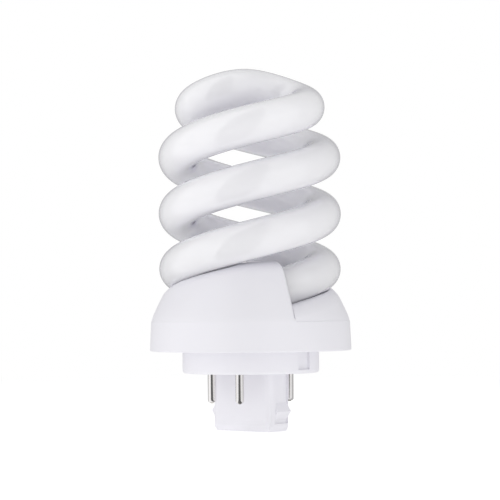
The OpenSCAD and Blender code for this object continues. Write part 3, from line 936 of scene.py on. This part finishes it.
@dataclass
class Studio:
    """Floor, world, lights and camera.

    The tent is what a gloss shows of the surround: turns from the camera's side in degrees,
    each with a brightness. The fill is what lights the lamp from all round, leaning to one side.
    """

    azimuth: float = 39.5
    distance: float = 613.0
    eye_z: float = 36.5
    aim_z: float = 50.5
    view_angle: float = 13.03
    roll: float = -0.43
    sensor_w: float = 36.0
    clip: tuple[float, float] = (0.05, 20.0)
    floor_r: float = 3000.0
    floor_sides: int = 96
    floor_share: float = 0.5
    floor_light: float = 0.62
    fade: tuple[float, float] = (110.0, 420.0)
    table_glow: float = 0.34
    fill: float = 0.82
    fill_lean: float = 0.18
    fill_turn: float = -85.0
    tent: tuple[tuple[float, float], ...] = (
        (-180.0, 0.5), (-112.0, 0.5), (-98.0, 1.0), (-37.0, 1.0), (-34.0, 0.12),
        (16.0, 0.12), (21.0, 0.85), (75.0, 0.85), (80.0, 0.5), (180.0, 0.5),
    )
    boxes: tuple[SoftBox, ...] = (
        SoftBox("left_softbox", -66.0, 8.0, 900.0, 1100.0, 900.0, 0.4),
        SoftBox("right_softbox", 48.0, 8.0, 950.0, 850.0, 800.0, 0.35),
        SoftBox("top_softbox", 0.0, 80.0, 1000.0, 900.0, 900.0, 0.2),
    )

    def build(self) -> None:
        """Set up everything round the lamp."""
        self._camera()
        self._world()
        self._floor()
        for box in self.boxes:
            self._light(box)
        bpy.context.scene.view_settings.view_transform = "Standard"

    def _towards(self, turn: float, rise: float) -> Vector:
        """Unit vector from the lamp to a place.

        Args:
            turn: Degrees from the camera's side.
            rise: Degrees up.

        Returns:
            The direction, whose parts are the sine and cosine of the turn at the rise's height.
        """
        turn, rise = math.radians(self.azimuth + turn), math.radians(rise)
        return Vector((math.sin(turn) * math.cos(rise), -math.cos(turn) * math.cos(rise), math.sin(rise)))

    def _camera(self) -> None:
        """Stand the camera where the photograph was taken from."""
        data = bpy.data.cameras.new("photo_camera")
        data.sensor_width = self.sensor_w
        data.lens = self.sensor_w / 2 / math.tan(math.radians(self.view_angle / 2))
        data.clip_start, data.clip_end = self.clip
        camera = bpy.data.objects.new("photo_camera", data)
        bpy.context.scene.collection.objects.link(camera)
        camera.location = self._towards(0, 0) * self.distance * MM + Vector((0, 0, self.eye_z * MM))
        gaze = Vector((0, 0, self.aim_z * MM)) - camera.location
        roll = Quaternion((0, 0, 1), math.radians(self.roll))
        camera.rotation_mode = "QUATERNION"
        camera.rotation_quaternion = gaze.to_track_quat("-Z", "Y") @ roll
        bpy.context.scene.camera = camera

    def _larger(
        self, tree: bpy.types.NodeTree, first: bpy.types.NodeSocket, second: bpy.types.NodeSocket
    ) -> bpy.types.NodeSocket:
        """The larger of two values."""
        return add_node(tree, "ShaderNodeMath", {0: first, 1: second}, operation="MAXIMUM").outputs[0]

    def _seen(self, tree: bpy.types.NodeTree) -> bpy.types.NodeSocket:
        """1 for a ray from the camera or off a glossy or clear surface, and 0 for the others."""
        path = add_node(tree, "ShaderNodeLightPath").outputs
        first = self._larger(tree, path["Is Camera Ray"], path["Is Glossy Ray"])
        return self._larger(tree, first, path["Is Transmission Ray"])

    def _along(self, tree: bpy.types.NodeTree, way: bpy.types.NodeSocket, turn: float) -> bpy.types.NodeSocket:
        """Length of a direction along the level one at a turn from the camera's side."""
        both = {0: way, 1: tuple(self._towards(turn, 0))}
        return add_node(tree, "ShaderNodeVectorMath", both, operation="DOT_PRODUCT").outputs["Value"]

    def _tent(self, tree: bpy.types.NodeTree, way: bpy.types.NodeSocket) -> bpy.types.NodeSocket:
        """Brightness of the tent, as a ramp from behind on the left round the front to behind on
        the right.

        Args:
            tree: Node tree that it goes in.
            way: Direction, or place on the floor, whose turn is looked up.

        Returns:
            The ramp's colour socket.
        """
        both = {0: self._along(tree, way, 90), 1: self._along(tree, way, 0)}
        turn = add_node(tree, "ShaderNodeMath", both, operation="ARCTAN2").outputs[0]
        share = {0: turn, 1: 1 / (2 * math.pi), 2: 0.5}
        place = add_node(tree, "ShaderNodeMath", share, operation="MULTIPLY_ADD").outputs[0]
        ramp = add_node(tree, "ShaderNodeValToRGB", {"Fac": place})
        stops = ramp.color_ramp.elements
        for turned, _ in self.tent[1:-1]:
            stops.new(turned / 360 + 0.5)
        for stop, (turned, grey) in zip(stops, self.tent):
            stop.position, stop.color = turned / 360 + 0.5, (grey, grey, grey, 1.0)
        return ramp.outputs["Color"]

    def _world(self) -> None:
        """A white surround that is seen at full strength and lights at a lower one.

        In a gloss it is a tent: bright cloth on both sides, with a dim gap for the camera and a
        dim back. Its light is the fill times one plus the lean times the cosine to its side.
        """
        world = bpy.data.worlds.new("white_studio")
        bpy.context.scene.world = world
        world.use_nodes = True
        tree = world.node_tree
        tree.nodes.clear()
        white = linear("#FFFFFF")
        way = add_node(tree, "ShaderNodeTexCoord").outputs["Generated"]
        lean = {0: self._along(tree, way, self.fill_turn), 1: self.fill * self.fill_lean, 2: self.fill}
        lean = add_node(tree, "ShaderNodeMath", lean, operation="MULTIPLY_ADD").outputs[0]
        fill = add_node(tree, "ShaderNodeBackground", {"Color": white, "Strength": lean})
        path = add_node(tree, "ShaderNodeLightPath").outputs
        clear = self._larger(tree, path["Is Camera Ray"], path["Is Transmission Ray"])
        level = self._larger(tree, clear, self._tent(tree, way))
        surround = add_node(tree, "ShaderNodeBackground", {"Color": white, "Strength": level})
        both = {0: self._seen(tree), 1: fill.outputs[0], 2: surround.outputs[0]}
        shade = add_node(tree, "ShaderNodeMixShader", both)
        add_node(tree, "ShaderNodeOutputWorld", {"Surface": shade.outputs[0]})

    def _floor(self) -> None:
        """A white sheet: the camera sees it as white as the surround, less the lamp's shadow.

        Near the lamp it is part lit and part glowing, and further out it only glows. In a gloss
        it goes on as the tent, and to other rays it is paper.
        """
        angle = np.linspace(0, 2 * np.pi, self.floor_sides, endpoint=False)
        ring = np.stack([self.floor_r * np.cos(angle), self.floor_r * np.sin(angle), 0 * angle], -1)
        points = np.concatenate([ring, np.zeros((1, 3))])
        faces = fan_faces(np.arange(self.floor_sides), self.floor_sides, False)
        floor = mesh_object("studio_floor", points, faces)
        paper = bpy.data.materials.new("matt_white_paper")
        paper.use_nodes = True
        tree = paper.node_tree
        tree.nodes.clear()
        white = linear("#FFFFFF")
        place = add_node(tree, "ShaderNodeTexCoord").outputs["Object"]
        reach = add_node(tree, "ShaderNodeVectorMath", {0: place}, operation="LENGTH").outputs["Value"]
        near, far = (distance * MM for distance in self.fade)
        ends = {"From Min": near, "From Max": far, "To Min": self.floor_share, "To Max": 0.0}
        share = add_node(tree, "ShaderNodeMapRange", {"Value": reach} | ends, interpolation_type="SMOOTHSTEP")
        share = share.outputs["Result"]
        rest = {0: share, 1: -self.floor_light, 2: 1.0}
        glow = add_node(tree, "ShaderNodeMath", rest, operation="MULTIPLY_ADD").outputs[0]
        sheet = add_node(tree, "ShaderNodeBsdfDiffuse", {"Color": share})
        light = add_node(tree, "ShaderNodeEmission", {"Color": white, "Strength": glow})
        lit = add_node(tree, "ShaderNodeAddShader", {0: sheet.outputs[0], 1: light.outputs[0]})
        tent = {"Color": white, "Strength": self._tent(tree, place)}
        tent = add_node(tree, "ShaderNodeEmission", tent)
        glossy = add_node(tree, "ShaderNodeLightPath").outputs["Is Glossy Ray"]
        seen = add_node(tree, "ShaderNodeMixShader", {0: glossy, 1: lit.outputs[0], 2: tent.outputs[0]})
        sheet = add_node(tree, "ShaderNodeBsdfDiffuse", {"Color": linear("#F0F0F0")})
        light = add_node(tree, "ShaderNodeEmission", {"Color": white, "Strength": self.table_glow})
        table = add_node(tree, "ShaderNodeAddShader", {0: sheet.outputs[0], 1: light.outputs[0]})
        both = {0: self._seen(tree), 1: table.outputs[0], 2: seen.outputs[0]}
        shade = add_node(tree, "ShaderNodeMixShader", both)
        add_node(tree, "ShaderNodeOutputMaterial", {"Surface": shade.outputs[0]})
        floor.data.materials.append(paper)

    def _light(self, box: SoftBox) -> None:
        """Hang a soft box so that it looks at the lamp's middle.

        Args:
            box: Place, size and power of the light.
        """
        data = bpy.data.lights.new(box.name, "AREA")
        data.shape = "RECTANGLE"
        data.size, data.size_y = box.width * MM, box.height * MM
        data.energy = box.watts
        light = bpy.data.objects.new(box.name, data)
        bpy.context.scene.collection.objects.link(light)
        out = self._towards(box.turn, box.rise)
        light.location = Vector((0, 0, self.aim_z * MM)) + out * box.reach * MM
        light.rotation_mode = "QUATERNION"
        light.rotation_quaternion = (-out).to_track_quat("-Z", "Y")


def main() -> None:
    """Build the lamp and its studio."""
    logging.basicConfig(level=logging.INFO, format="%(message)s")
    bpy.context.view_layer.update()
    spiral = Spiral()
    GlassTube(spiral).build()
    HoodedCover(spiral).build()
    Housing().build()
    Contacts().build()
    Studio().build()
    bpy.context.view_layer.update()


if __name__ == "__main__":
    main()
